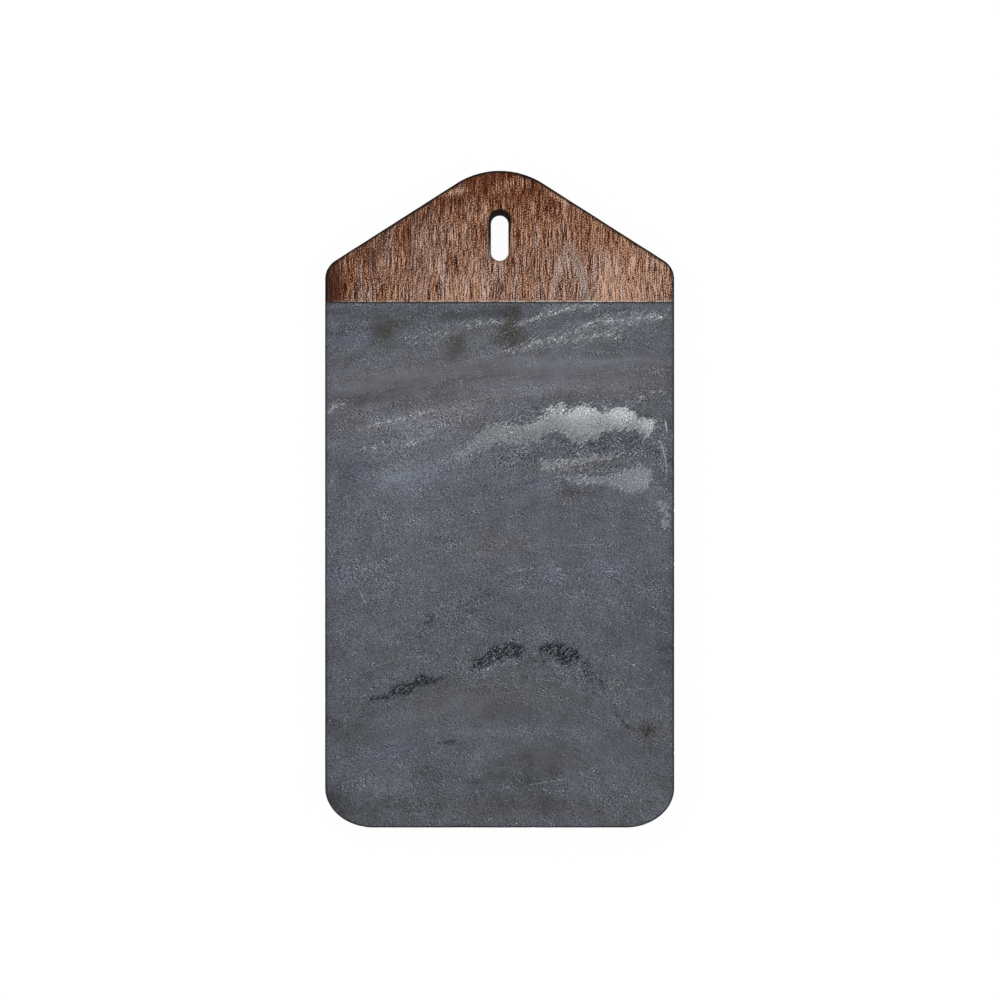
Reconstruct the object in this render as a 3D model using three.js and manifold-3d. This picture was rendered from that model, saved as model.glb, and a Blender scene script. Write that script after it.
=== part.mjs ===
// Stone serving board with a wooden handle end.
// Millimetres, +Z up. The board lies flat with its wooden end towards +Y.
// The origin is on the table, under the middle of the board.

import * as THREE from 'three';
import { mergeVertices } from 'three/addons/utils/BufferGeometryUtils.js';
import Module from 'manifold-3d';

// Board: one outline shared by the stone and the wood
const BOARD_WIDTH = 202;
const BOARD_THICKNESS = 15;
const EDGE_ROUND = 1; // rounding of the outer edges and of the slot's rims

// Stone slab, with its corners ground a little wider than they are long
const STONE_LENGTH = 303.6;
const CORNER_ACROSS = 28;
const CORNER_ALONG = 23;

// Wooden end: straight sides, round shoulders, straight flanks and a round apex
const WOOD_LENGTH = 76;
const WOOD_SIDE = 13.3; // straight side, from the joint to where the shoulder starts
const SHOULDER_RADIUS = 12.7;
const APEX_RADIUS = 46.5;

// Hanging slot, upright in the wood
const SLOT_WIDTH = 10.2;
const SLOT_LENGTH = 28.6;
const SLOT_FROM_JOINT = 38.2; // from the wood's joint face to the middle of the slot

// Glue joint between stone and wood
const BOND_THICKNESS = 0.4;
const BOND_SETBACK = 0.5; // how far the bond stays back from the board's faces and sides

// Fluted dowels across the joint, glued into blind holes
const DOWEL_DIAMETER = 6;
const DOWEL_LENGTH = 40;
const DOWEL_SPACING = 110;
const DOWEL_FLUTES = 16;
const FLUTE_DEPTH = 0.25;
const DOWEL_CHAMFER = 0.8;
const DOWEL_CLEARANCE = 0.3; // around the dowel
const DOWEL_END_GAP = 1; // room for glue beyond each end of the dowel

// Stick-on rubber feet
const FOOT_HEIGHT = 2;
const FOOT_DIAMETER = 10;
const FOOT_ROUND = 1; // rounding of the sole's rim
const FOOT_FROM_SIDE = 24;
const FRONT_FOOT_FROM_END = 24;
const REAR_FOOT_FROM_JOINT = 16;

// Fineness of the round stretches
const OUTLINE_STEPS = 9; // half the straight steps in each arc of the outline
const EDGE_STEPS = 3; // steps around a rounded edge
const ROUND_SIDES = 32; // sides of a hole or a foot
const RIM_STEPS = 4;

// Colours and finish
const STONE = { color: 0x5d6064, roughness: 0.55, metalness: 0 };
const WOOD = { color: 0x7b5a47, roughness: 0.6, metalness: 0 };
const BOND = { color: 0x2b2622, roughness: 0.7, metalness: 0 };
const BEECH = { color: 0xc9a77c, roughness: 0.7, metalness: 0 };
const RUBBER = { color: 0x26262a, roughness: 0.85, metalness: 0 };

// Places that follow from the sizes above
const HALF_WIDTH = BOARD_WIDTH / 2;
const BOARD_LENGTH = STONE_LENGTH + BOND_THICKNESS + WOOD_LENGTH;
const END_Y = -BOARD_LENGTH / 2;
const APEX_Y = BOARD_LENGTH / 2;
const STONE_JOINT_Y = END_Y + STONE_LENGTH;
const WOOD_JOINT_Y = APEX_Y - WOOD_LENGTH;
const BOND_MIDDLE_Y = (STONE_JOINT_Y + WOOD_JOINT_Y) / 2;
const UNDERSIDE_Z = FOOT_HEIGHT;
const MIDDLE_Z = UNDERSIDE_Z + BOARD_THICKNESS / 2;
const CUT_MARGIN = 10; // how far a cutting block reaches past the board

const wasm = await Module();
wasm.setup();

// A closed three.js geometry as a solid that can be cut
function solidOf(geometry) {
  const bare = geometry.clone();
  bare.deleteAttribute('normal');
  bare.deleteAttribute('uv');
  const merged = mergeVertices(bare, 1e-4);
  const vertProperties = new Float32Array(merged.attributes.position.array);
  const triVerts = new Uint32Array(merged.index.array);
  return new wasm.Manifold(new wasm.Mesh({ numProp: 3, vertProperties, triVerts }));
}

// A cut solid as a three.js geometry
function geometryOf(solid) {
  const mesh = solid.getMesh();
  const geometry = new THREE.BufferGeometry();
  geometry.setAttribute('position', new THREE.BufferAttribute(mesh.vertProperties, 3));
  geometry.setIndex(new THREE.BufferAttribute(mesh.triVerts, 1));
  geometry.computeVertexNormals();
  return geometry;
}

function pieceOf(name, geometry, finish) {
  const piece = new THREE.Mesh(geometry, new THREE.MeshStandardMaterial(finish));
  piece.name = name;
  return piece;
}

// The flanks are the common tangents of the apex circle and the shoulder circles.
// Gives the direction that the flank on the +X side faces, as an angle from +X.
function flankAngle(shoulderX, shoulderY, apexCentreY) {
  const rise = apexCentreY - shoulderY;
  const slope = Math.atan2(rise, shoulderX);
  const spread = Math.asin((APEX_RADIUS - SHOULDER_RADIUS) / Math.hypot(shoulderX, rise));
  return Math.PI / 2 - slope - spread;
}

function boardOutline() {
  const cornerX = HALF_WIDTH - CORNER_ACROSS;
  const cornerY = END_Y + CORNER_ALONG;
  const shoulderX = HALF_WIDTH - SHOULDER_RADIUS;
  const shoulderY = WOOD_JOINT_Y + WOOD_SIDE;
  const apexCentreY = APEX_Y - APEX_RADIUS;
  const facing = flankAngle(shoulderX, shoulderY, apexCentreY);
  const outline = new THREE.Shape();
  outline.absellipse(cornerX, cornerY, CORNER_ACROSS, CORNER_ALONG, -Math.PI / 2, 0, false, 0);
  outline.absarc(shoulderX, shoulderY, SHOULDER_RADIUS, 0, facing, false);
  outline.absarc(0, apexCentreY, APEX_RADIUS, facing, Math.PI - facing, false);
  outline.absarc(-shoulderX, shoulderY, SHOULDER_RADIUS, Math.PI - facing, Math.PI, false);
  outline.absellipse(-cornerX, cornerY, CORNER_ACROSS, CORNER_ALONG, Math.PI, 1.5 * Math.PI, false, 0);
  outline.closePath();
  return outline;
}

function slotOutline() {
  const radius = SLOT_WIDTH / 2;
  const middleY = WOOD_JOINT_Y + SLOT_FROM_JOINT;
  const reach = SLOT_LENGTH / 2 - radius;
  const slot = new THREE.Path();
  slot.absarc(0, middleY + reach, radius, 0, Math.PI, false);
  slot.absarc(0, middleY - reach, radius, Math.PI, 2 * Math.PI, false);
  slot.closePath();
  return slot;
}

// The whole board before it is parted: outline, slot and rounded edges
function boardBlank() {
  const outline = boardOutline();
  outline.holes.push(slotOutline());
  const blank = new THREE.ExtrudeGeometry(outline, {
    depth: BOARD_THICKNESS - 2 * EDGE_ROUND,
    curveSegments: OUTLINE_STEPS,
    bevelThickness: EDGE_ROUND,
    bevelSize: EDGE_ROUND,
    bevelOffset: -EDGE_ROUND,
    bevelSegments: EDGE_STEPS,
  });
  blank.translate(0, 0, UNDERSIDE_Z + EDGE_ROUND);
  return solidOf(blank);
}

// A block between two places along Y. Pieces made with the same place share that face exactly.
function blockBetween(fromY, toY, halfWidth, height) {
  const plan = new THREE.Shape();
  plan.moveTo(-halfWidth, fromY);
  plan.lineTo(halfWidth, fromY);
  plan.lineTo(halfWidth, toY);
  plan.lineTo(-halfWidth, toY);
  plan.closePath();
  const block = new THREE.ExtrudeGeometry(plan, { depth: height, bevelEnabled: false });
  block.translate(0, 0, MIDDLE_Z - height / 2);
  return solidOf(block);
}

// A block that takes in all of the board between two places along Y
function lengthBlock(fromY, toY) {
  return blockBetween(fromY, toY, HALF_WIDTH + CUT_MARGIN, BOARD_THICKNESS + 2 * CUT_MARGIN);
}

// The hole for one dowel, blind in both pieces
function dowelHole(x) {
  const radius = DOWEL_DIAMETER / 2 + DOWEL_CLEARANCE;
  const length = DOWEL_LENGTH + 2 * DOWEL_END_GAP;
  const hole = new THREE.CylinderGeometry(radius, radius, length, ROUND_SIDES);
  hole.translate(x, BOND_MIDDLE_Y, MIDDLE_Z);
  return solidOf(hole);
}

// The film of glue that fills the joint, a little short of the board's faces and sides
function jointAdhesive() {
  const halfWidth = HALF_WIDTH - BOND_SETBACK;
  const height = BOARD_THICKNESS - 2 * BOND_SETBACK;
  return blockBetween(STONE_JOINT_Y, WOOD_JOINT_Y, halfWidth, height);
}

// A beech dowel with pressed flutes and chamfered ends, lying along Y
function flutedDowel() {
  const outline = new THREE.Shape();
  const points = 2 * DOWEL_FLUTES;
  for (let i = 0; i < points; i += 1) {
    const radius = DOWEL_DIAMETER / 2 - (i % 2 ? FLUTE_DEPTH : 0);
    const angle = (2 * Math.PI * i) / points;
    const x = radius * Math.cos(angle);
    const y = radius * Math.sin(angle);
    if (i === 0) outline.moveTo(x, y);
    else outline.lineTo(x, y);
  }
  outline.closePath();
  const dowel = new THREE.ExtrudeGeometry(outline, {
    depth: DOWEL_LENGTH - 2 * DOWEL_CHAMFER,
    bevelThickness: DOWEL_CHAMFER,
    bevelSize: DOWEL_CHAMFER,
    bevelOffset: -DOWEL_CHAMFER,
    bevelSegments: 1,
  });
  dowel.translate(0, 0, DOWEL_CHAMFER - DOWEL_LENGTH / 2);
  dowel.rotateX(Math.PI / 2);
  return dowel;
}

// A round rubber foot: flat sole on the table with a rounded rim, flat glued face on top
function rubberFoot() {
  const radius = FOOT_DIAMETER / 2;
  const profile = [new THREE.Vector2(0, 0)];
  for (let i = 0; i <= RIM_STEPS; i += 1) {
    const turn = (i / RIM_STEPS) * (Math.PI / 2);
    const inset = FOOT_ROUND * (1 - Math.sin(turn));
    const rise = FOOT_ROUND * (1 - Math.cos(turn));
    profile.push(new THREE.Vector2(radius - inset, rise));
  }
  profile.push(new THREE.Vector2(radius, FOOT_HEIGHT));
  profile.push(new THREE.Vector2(0, FOOT_HEIGHT));
  const foot = new THREE.LatheGeometry(profile, ROUND_SIDES);
  foot.rotateX(Math.PI / 2);
  return foot;
}

const board = new THREE.Group();

const blank = boardBlank();
const dowelSides = { left: -DOWEL_SPACING / 2, right: DOWEL_SPACING / 2 };
const holes = dowelHole(dowelSides.left).add(dowelHole(dowelSides.right));
const stoneBlock = lengthBlock(END_Y - CUT_MARGIN, STONE_JOINT_Y);
const woodBlock = lengthBlock(WOOD_JOINT_Y, APEX_Y + CUT_MARGIN);

board.add(pieceOf('stone_slab', geometryOf(blank.intersect(stoneBlock).subtract(holes)), STONE));
board.add(pieceOf('wood_handle', geometryOf(blank.intersect(woodBlock).subtract(holes)), WOOD));
board.add(pieceOf('joint_adhesive', geometryOf(jointAdhesive().subtract(holes)), BOND));

for (const [side, x] of Object.entries(dowelSides)) {
  const dowel = pieceOf(`dowel_${side}`, flutedDowel(), BEECH);
  dowel.position.set(x, BOND_MIDDLE_Y, MIDDLE_Z);
  board.add(dowel);
}

const footRows = { front: END_Y + FRONT_FOOT_FROM_END, rear: WOOD_JOINT_Y + REAR_FOOT_FROM_JOINT };
const footX = HALF_WIDTH - FOOT_FROM_SIDE;
for (const [row, y] of Object.entries(footRows)) {
  for (const [side, x] of Object.entries({ left: -footX, right: footX })) {
    const foot = pieceOf(`foot_${row}_${side}`, rubberFoot(), RUBBER);
    foot.position.set(x, y, 0);
    board.add(foot);
  }
}

export default board;
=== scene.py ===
"""A stone serving board with a wooden handle end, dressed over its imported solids.

The scene is in metres, +Z up, with the wooden end towards +Y. Shapes and patterns are worked out in
millimetres from the middle of the board, and turned to metres where a mesh is made.
"""

import math
from collections import namedtuple
from types import SimpleNamespace

import bpy
import numpy as np
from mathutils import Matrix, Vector, noise
from mathutils.geometry import delaunay_2d_cdt
from mathutils.kdtree import KDTree


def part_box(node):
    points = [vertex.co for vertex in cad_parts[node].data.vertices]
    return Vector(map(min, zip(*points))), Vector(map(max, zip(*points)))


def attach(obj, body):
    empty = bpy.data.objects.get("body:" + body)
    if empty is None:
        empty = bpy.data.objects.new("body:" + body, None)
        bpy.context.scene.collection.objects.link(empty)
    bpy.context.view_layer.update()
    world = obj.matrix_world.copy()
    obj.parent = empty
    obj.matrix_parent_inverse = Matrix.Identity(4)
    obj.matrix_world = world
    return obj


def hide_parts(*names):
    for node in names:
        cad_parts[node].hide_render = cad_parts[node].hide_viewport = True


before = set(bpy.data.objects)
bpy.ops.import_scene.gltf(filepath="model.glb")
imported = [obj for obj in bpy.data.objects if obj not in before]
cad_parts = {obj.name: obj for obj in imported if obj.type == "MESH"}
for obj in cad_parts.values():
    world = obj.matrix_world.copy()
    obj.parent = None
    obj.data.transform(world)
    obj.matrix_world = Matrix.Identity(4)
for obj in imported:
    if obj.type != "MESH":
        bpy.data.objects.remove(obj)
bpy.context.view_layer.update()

MM = 0.001


def box_mm(node):
    """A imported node's lowest and highest corners in millimetres."""
    low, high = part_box(node)
    return np.array(low) / MM, np.array(high) / MM


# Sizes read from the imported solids
STONE_LOW, STONE_HIGH = box_mm("stone_slab")
WOOD_LOW, WOOD_HIGH = box_mm("wood_handle")
DOWEL_LOW, DOWEL_HIGH = box_mm("dowel_right")
HALF_WIDTH = STONE_HIGH[0]
TOP_Z = STONE_HIGH[2]
UNDER_Z = STONE_LOW[2]
STONE_JOINT_Y = STONE_HIGH[1]
WOOD_JOINT_Y = WOOD_LOW[1]
DOWEL_X = (DOWEL_LOW[0] + DOWEL_HIGH[0]) / 2
DOWEL_Z = (DOWEL_LOW[2] + DOWEL_HIGH[2]) / 2

# Outline of the board
CORNER_ACROSS = 28.0
CORNER_ALONG = 23.0
WOOD_SIDE = 13.3
SHOULDER_RADIUS = 12.7
APEX_RADIUS = 46.5
SLOT_WIDTH = 10.2
SLOT_LENGTH = 28.6
SLOT_Y = WOOD_JOINT_Y + 38.2

# Holes for the dowels
HOLE_RADIUS = (DOWEL_HIGH[0] - DOWEL_LOW[0]) / 2 + 0.3
HOLE_END_GAP = 1.0
HOLE_SIDES = 24

# Edges: radius of the eased arris, whether it is nicked, how far its painted shade shows on face and side
Edge = namedtuple("Edge", "radius nicked on_face on_side")
STONE_EDGE = Edge(radius=0.95, nicked=True, on_face=0.6, on_side=0.0)
WOOD_EDGE = Edge(radius=1.1, nicked=False, on_face=0.9, on_side=0.35)
# The slot's walls are dark all the way down: painted shade, with some dark stain
SLOT_EDGE = WOOD_EDGE._replace(on_side=1.0)
ARRIS_WEAR = 0.35
ARRIS_WEAR_LENGTH = 9.0
# How fast the painted shade deepens round the arris, and the strip of face that it fades in over
ARRIS_GAIN = 2.0
FACE_STRIP = 0.7
FACE_STRIP_FADE = 0.6
UNWORN_POINTS = 6
NICK_LENGTH = 2.6
NICK_DEPTH = 0.35
NICK_FROM = 0.45
NICK_RANGE = 0.3
NICK_RUNOUT = 1 / 3

# Starting points of the noise
STONE_SEED = 3.0
WOOD_SEED = 11.0
SLOT_SEED = 7.0
UNDER_SEED = 50.0
NICK_SEED = 90.0
RAGGED_SEED = 5

# Fineness of the meshes
ARC_STEPS = 80
ARRIS_STEPS = 6
SIDE_STEPS = 5
HOLE_RINGS = 6
SHARP_ANGLE = 50
OUTLINE_STEP = 1.2
FACE_STEP = 1.25
UNDER_STEP = 4.0
FILL_MARGIN = 0.55

# Tilt of the finest grain, and turn of the stone's feathery strokes, in degrees
GRAIN_TILT = 38
FEATHER_TURN = 38

# Camera straight above the board
CAMERA_X = 0.2
CAMERA_Y = -0.5
CAMERA_ABOVE_TOP = 866.0
VIEW_WIDTH = 578.0
SENSOR = 36.0

# Floor and lamps round the board, in metres and watts
FLOOR_HALF = 4.0
FLOOR_DROP = 0.05 * MM
FLOOR_GLOW = 0.97
ROOM_STRENGTH = 0.2
LAMP_SIZE = 1.0
LAMPS = [
    ("left_lamp", (-1.3, 0.4, 0.95), 13.0),
    ("right_lamp", (1.3, 0.1, 0.95), 9.0),
    ("back_lamp", (-0.2, 1.3, 0.95), 9.0),
    ("front_lamp", (0.1, -1.3, 0.95), 9.0),
]


def hex_to_linear(code):
    """An sRGB hex colour as linear red, green, blue and alpha."""
    parts = [int(code[k:k + 2], 16) / 255 for k in (1, 3, 5)]
    return [c / 12.92 if c <= 0.04045 else ((c + 0.055) / 1.055) ** 2.4 for c in parts] + [1.0]


def connect(tree, node, inputs):
    """Links a node's inputs, or sets them to numbers or to colours given as hex codes."""
    for name, value in inputs.items():
        if isinstance(value, bpy.types.NodeSocket):
            tree.links.new(value, node.inputs[name])
        else:
            node.inputs[name].default_value = hex_to_linear(value) if isinstance(value, str) else value


def add(tree, kind, inputs, out=0, stops=(), **settings):
    """Adds a shader node, sets it, links or sets its inputs, and gives one of its outputs."""
    made = tree.nodes.new("ShaderNode" + kind)
    for name, value in settings.items():
        setattr(made, name, value)
    connect(tree, made, inputs)
    for number, (position, code) in enumerate(stops):
        elements = made.color_ramp.elements
        element = elements[number] if number < len(elements) else elements.new(1.0)
        element.position = position
        element.color = hex_to_linear(code)
    return made.outputs[out]


def new_material(name, carried=()):
    """A material, its node tree and shader, and what is known at each point.

    That is its place on the object in millimetres, and the values that the mesh carries.
    """
    material = bpy.data.materials.new(name)
    material.use_nodes = True
    tree = material.node_tree
    shader = tree.nodes["Principled BSDF"]
    place = add(tree, "VectorMath", {0: add(tree, "TexCoord", {}, out="Object"), "Scale": 1 / MM},
                operation="SCALE")
    values = {key: add(tree, "Attribute", {}, out="Fac", attribute_name=key) for key in carried}
    return material, tree, shader, SimpleNamespace(place=place, **values)


def grain(tree, place, turn, length, width, warp=0.0):
    """Fine noise about 0, with grains so long and wide in millimetres and turned by some degrees.

    Its plane is tilted, so that it shows on the sides as well as on the faces.
    """
    turned = [math.radians(angle) for angle in (GRAIN_TILT, GRAIN_TILT, turn)]
    tilted = add(tree, "Mapping", {"Vector": place, "Rotation": turned, "Scale": (length, width, 1.0)},
                 vector_type="TEXTURE")
    fine = add(tree, "TexNoise", {"Vector": tilted, "Scale": 1.0, "Detail": 0.0, "Distortion": warp},
               noise_dimensions="2D")
    return add(tree, "Math", {0: fine, 1: 0.5}, operation="SUBTRACT")


def pattern(tree, place, size, detail=0.0, roughness=0.5, warp=0.0, out=0):
    """Noise about 0.5 with features so large in millimetres along each axis."""
    scaled = add(tree, "VectorMath", {0: place, 1: size}, operation="DIVIDE")
    return add(tree, "TexNoise", {"Vector": scaled, "Scale": 1.0, "Detail": detail, "Roughness": roughness,
                                  "Distortion": warp}, out=out)


def chain(tree, result, *pairs, kind, sockets, **settings):
    """Adds a run of like nodes, each fed with a pair of inputs and the result so far."""
    for pair in pairs:
        result = add(tree, kind, dict(zip(sockets, (*pair, result))), **settings)
    return result


# Runs of nodes that add patterns, each times its share, and that lay colours over one another by shares
SUM = {"kind": "Math", "sockets": (0, 1, 2), "operation": "MULTIPLY_ADD"}
COAT = {"kind": "Mix", "sockets": (0, 7, 6), "out": 2, "data_type": "RGBA"}

# Patches of the stone in millimetres: strength, softness of the edge, points on the outline
PALE_PATCHES = [
    (0.16, 1.3, [(17, 42.5), (19.4, 44.4), (23.7, 48.3), (30.3, 49.9), (39.3, 49.9), (44, 53.2),
        (49.6, 54.6), (54.5, 53.2), (58.7, 50), (62.9, 50.7), (67.8, 52.9), (74.8, 52.5), (78.3, 50.4),
        (79.7, 46.9), (86, 46.6), (89.5, 47.2), (90.2, 43.4), (87.4, 37.1), (84.6, 35.3), (81.8, 37.8),
        (76.9, 40.6), (71.3, 39.9), (62.9, 40.6), (58.7, 37.1), (51.7, 33.6), (46.1, 30.8),
        (40.5, 34.3), (37, 38.5), (32.1, 40.3), (27.9, 37.1), (21, 37)]),
    (0.13, 2.6, [(-26, 25), (-17, 34), (-11.4, 39.2), (-7.1, 42.7), (-0.8, 44.8), (9, 43.4),
        (15.2, 43.7), (24, 44), (27.9, 37.1), (22.3, 32.9), (16.7, 30.8), (11.1, 28.7), (3.4, 31.9),
        (-4.4, 30.1), (-11.4, 28.7), (-20, 24)]),
    (0.3, 2.2, [(26, 50.5), (29, 53.5), (37, 55.2), (37.8, 52.3), (31, 50.5)]),
    (0.17, 1.3, [(23, 23.4), (35, 22.6), (48.9, 24.6), (58.7, 25.2), (72, 26.7), (62.2, 22),
        (44.7, 20.3), (37.7, 18.2), (23.7, 17.4)]),
    (0.19, 1.4, [(33.5, 12.6), (51.7, 13.3), (65.7, 14.5), (79.7, 18.7), (86.7, 18.2), (88, 11.2),
        (85.3, 6), (76.2, 3.8), (67.8, 6.3), (62.2, 8.7), (51.7, 8.4)]),
    (0.12, 2.4, [(93.3, 31), (95.3, 31), (97, 19), (95, 20)]),
    (0.2, 2.6, [(92, -1), (97, 0), (99, -17), (95, -18)]),
    (0.09, 1.6, [(60, -108.5), (66, -104.5), (71.5, -105.5), (67, -109)]),
]
DARK_LENSES = [
    (1, 2, [(-77, -115), (-70, -113.5), (-65, -112), (-61, -107.5), (-56, -106), (-50, -105),
        (-46, -99.5), (-42.5, -102), (-36, -103), (-30.5, -102.5), (-34.5, -105), (-42.5, -108.5),
        (-48, -108.5), (-53, -114), (-59, -113.5), (-64, -116.5), (-74.5, -117)]),
    (1, 2, [(-9.3, -91.6), (-7, -86.8), (-3.4, -84.5), (1.9, -82.4), (7.1, -82.1), (12.5, -83.9),
        (15.4, -87.4), (13.7, -90.4), (8.9, -92.2), (4.8, -91), (0.1, -93.9), (-5.2, -95.7),
        (-11.1, -97.5), (-16.4, -98.1), (-17.6, -93.3), (-14.1, -91.6)]),
    (0.75, 1.3, [(14.8, -93), (27.2, -92.3), (26.5, -94.5), (15, -95)]),
    (0.9, 2.2, [(21.8, -85.5), (26, -83), (33, -82.5), (40, -84), (46.5, -87), (48, -91), (44, -95),
        (40, -97.5), (35, -95), (30, -91.5), (24, -89)]),
    (0.6, 2.2, [(46, -91), (50.5, -92), (55, -99), (57, -104.5), (52, -106), (47, -101.5)]),
    (0.55, 1.9, [(55, -103), (60, -103.5), (64.5, -110.5), (61, -114), (56, -109.5)]),
    (0.6, 2.2, [(77.5, -134.5), (83, -129.5), (92, -131.5), (90, -136), (84.5, -139.5)]),
    (0.34, 2.6, [(-46.5, -75.5), (-43.5, -68), (-39, -65.5), (-36.5, -69.5), (-40, -76)]),
    (0.85, 1.3, [(63, -112.5), (66, -119), (70, -126), (79.5, -133), (73, -132), (67.5, -126.5)]),
    (0.55, 2.4, [(31, 3), (38, 7), (52, 5), (58, 2), (44, 1)]),
]
# Soft spots: middle x, middle y, half length, half width, tilt, strength
GLOW_SPOTS = [
    (46, 50.5, 14, 5.5, 3, 0.55), (71, 49.5, 11, 6, -4, 0.6), (86, 43, 5, 5, 0, 0.4),
    (22, 44, 9, 4, 17, 0.12), (4, 39, 14, 5, 12, 0.12), (50, 41, 18, 6, 0, 0.16),
    (83, 12, 6, 4, 20, 0.1),
]
DARK_SPOTS = [
    (-62, -87, 12, 2.6, 20, 0.4), (-10, -56, 11, 5, 25, 0.42), (11.8, -42.7, 10, 1.3, 15, 0.45),
    (-30, -140.5, 8, 2.6, 5, 0.68), (50, 33, 22, 4, 4, 0.3), (50, 18.5, 24, 1.6, 5, 0.25),
    (-70, -62, 8, 3, 30, 0.3), (-43, -72, 10, 4, 35, 0.22),
]
STAIN_SPOTS = [
    (-66, 96.5, 10, 7.5, 35, 0.95), (-24.5, 88, 10, 5.5, 70, 0.85), (6, 94.5, 9.5, 8.5, 78, 1.05),
    (8.5, 107, 6, 3.6, 70, 0.8), (84.5, -134, 7.5, 4.5, -15, 0.48),
]
TONE_SPOTS = [
    (0, 108.5, 100, 4, 1, -0.3), (-70, 100, 30, 4, 8, -0.2), (64, 101, 32, 5, 8, 0.2),
    (-60, 72, 38, 4, 8, 0.2), (30, 80, 60, 3, 0, 0.16), (70, 66, 30, 5, 3, 0.16),
    (-80, 58, 36, 3.5, 3, -0.22), (30, 58, 30, 3, 3, -0.14), (-60, 45, 22, 6, 8, 0.3),
    (-95, 33, 8, 4, 0, 0.22), (-86, 17, 8, 9, 0, -0.16), (-98, 12, 5, 10, 0, 0.16),
    (-52, 14, 22, 9, 15, 0.42), (-22, 26, 15, 6, 25, 0.3), (55, 32, 24, 5, 4, -0.2),
    (50, 4, 20, 4, 0, -0.16), (15, 2, 20, 3, 25, 0.14), (4, 10, 10, 8, 20, 0.14),
    (76, 4, 13, 4, 10, 0.2), (-48, -19, 10, 6, 20, 0.22), (32, -45, 8, 8, 0, 0.14),
    (62, -38, 9, 8, 0, 0.16), (-12, -62, 20, 8, 25, -0.14), (0, -134, 30, 3, 2, 0.2),
    (16, -152, 22, 11, 0, -0.28), (-12, -148, 5, 4, 70, 0.3), (-70, -169, 5, 3, 60, 0.3),
    (-60, -165, 4, 2.5, 60, 0.25), (-85, -135, 15, 15, 0, -0.2), (0, -178, 100, 8, 0, -0.26),
    (40, 77, 60, 5, 2, 0.3), (20, 64, 34, 6, 4, 0.32), (-22, 52, 18, 6, 10, 0.4),
    (-46, 38, 20, 9, 12, 0.44), (-60, 14, 9, 6, 20, 0.32), (-8, 16, 7, 5, 20, 0.14),
    (-54, -10, 12, 9, 15, 0.22), (27, 9, 9, 8, 10, 0.2), (88, 5, 6, 4, 0, 0.2),
    (36, 110, 30, 3, 3, 0.2), (0, -112, 130, 40, 0, -0.14), (10, -164, 30, 8, 0, -0.24),
    (-80, -177, 25, 8, 0, -0.2), (82, -75, 20, 14, 0, -0.14), (84, -146, 14, 12, 0, -0.16),
    (-40, -156, 12, 14, 0, -0.22), (-12, -165, 7, 5, 0, -0.2), (-97, -175, 9, 10, 0, -0.4),
    (97, -90, 6, 16, 0, -0.16), (-78, -104, 10, 5, 0, -0.15), (-48, -128, 9, 5, 0, 0.17),
    (82, 29, 9, 5, 0, -0.16), (-84, 111, 16, 3, 0, -0.16), (2, 65, 14, 5, 5, 0.16),
    (48, -80, 14, 4, 0, 0.13),
]
# Bluish where above 0, warm where below
HUE_SPOTS = [
    (-82, 92, 24, 4, 5, 0.8), (-60, 71, 40, 5, 8, -0.45), (-70, 58, 32, 4, 2, -0.45),
    (70, 66, 36, 6, 3, -0.4), (-85, 45, 16, 9, 0, -0.5), (-85, 15, 14, 12, 0, 0.6),
    (-45, 12, 28, 9, 15, 0.45), (45, 19, 25, 3, 5, -0.5), (42, 4, 14, 4, 0, -0.8),
    (0, -25, 32, 10, 10, -0.4), (-92, -45, 10, 6, -30, 0.6), (32, -45, 8, 8, 0, 0.6),
    (63, -40, 10, 8, 0, 0.5), (92, -60, 8, 50, 0, 0.2), (-10, -116, 45, 12, 5, -0.4),
    (66, -118, 10, 5, -50, 0.4), (20, 7, 15, 5, 10, 0.7), (78, 8, 10, 4, 10, 0.7),
    (-60, -146, 25, 5, 15, 0.7), (0, -133, 28, 4, 2, 0.4), (45, -139, 18, 4, -18, 0.4),
    (25, -152, 25, 10, 0, -0.35), (86.5, -134, 7, 6, 0, -1.4), (0, 72, 130, 34, 0, -0.3),
    (-30, 50, 30, 12, 10, -0.3), (10, -178, 60, 8, 0, -0.3),
]
# Thin pale wisps: strength, reach to each side, points on the line
WISPS = [
    (0.7, 5, [(10.6, 100.7), (20.4, 104.7), (30.8, 108.7)]),
    (0.85, 5, [(31.4, 106.5), (35, 109.5), (44, 111.3), (57, 112.5)]),
    (0.75, 8, [(43.6, 96.6), (48.2, 100.1), (56.8, 103), (69.6, 103.5), (80, 104.7), (94.4, 105.9)]),
    (0.65, 7, [(1.9, 86.2), (10.6, 85.6), (22.2, 90.8), (39.5, 93.1), (56.8, 94.3), (69.6, 97.7)]),
    (0.4, 6, [(-55.9, 93.1), (-43.2, 93.7), (-32.7, 96), (-20, 98.9), (-9.6, 103)]),
    (0.6, 4, [(-13, 102), (-6, 103.5), (1, 101.5)]),
    (0.9, 2.5, [(-99.2, 50.4), (-95.8, 54.4), (-90.5, 55)]),
    (0.65, 3.5, [(-81.9, 40), (-72, 43.4), (-62.2, 45.2), (-54.7, 46.9)]),
    (0.75, 3, [(-51.8, 48.1), (-46, 49.8), (-38.5, 50.9)]),
    (0.5, 5, [(-78.4, 28.9), (-62, 31), (-46, 33)]),
    (0.6, 3.5, [(80.5, 57.5), (88, 61), (95, 63)]),
    (0.7, 3, [(94, 107), (99, 111)]),
    (0.45, 3, [(4.8, -41.5), (20.4, -39.8), (33.7, -40.4)]),
    (0.3, 3, [(-14, -100.5), (-4, -96.5), (8, -96)]),
]
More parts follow.
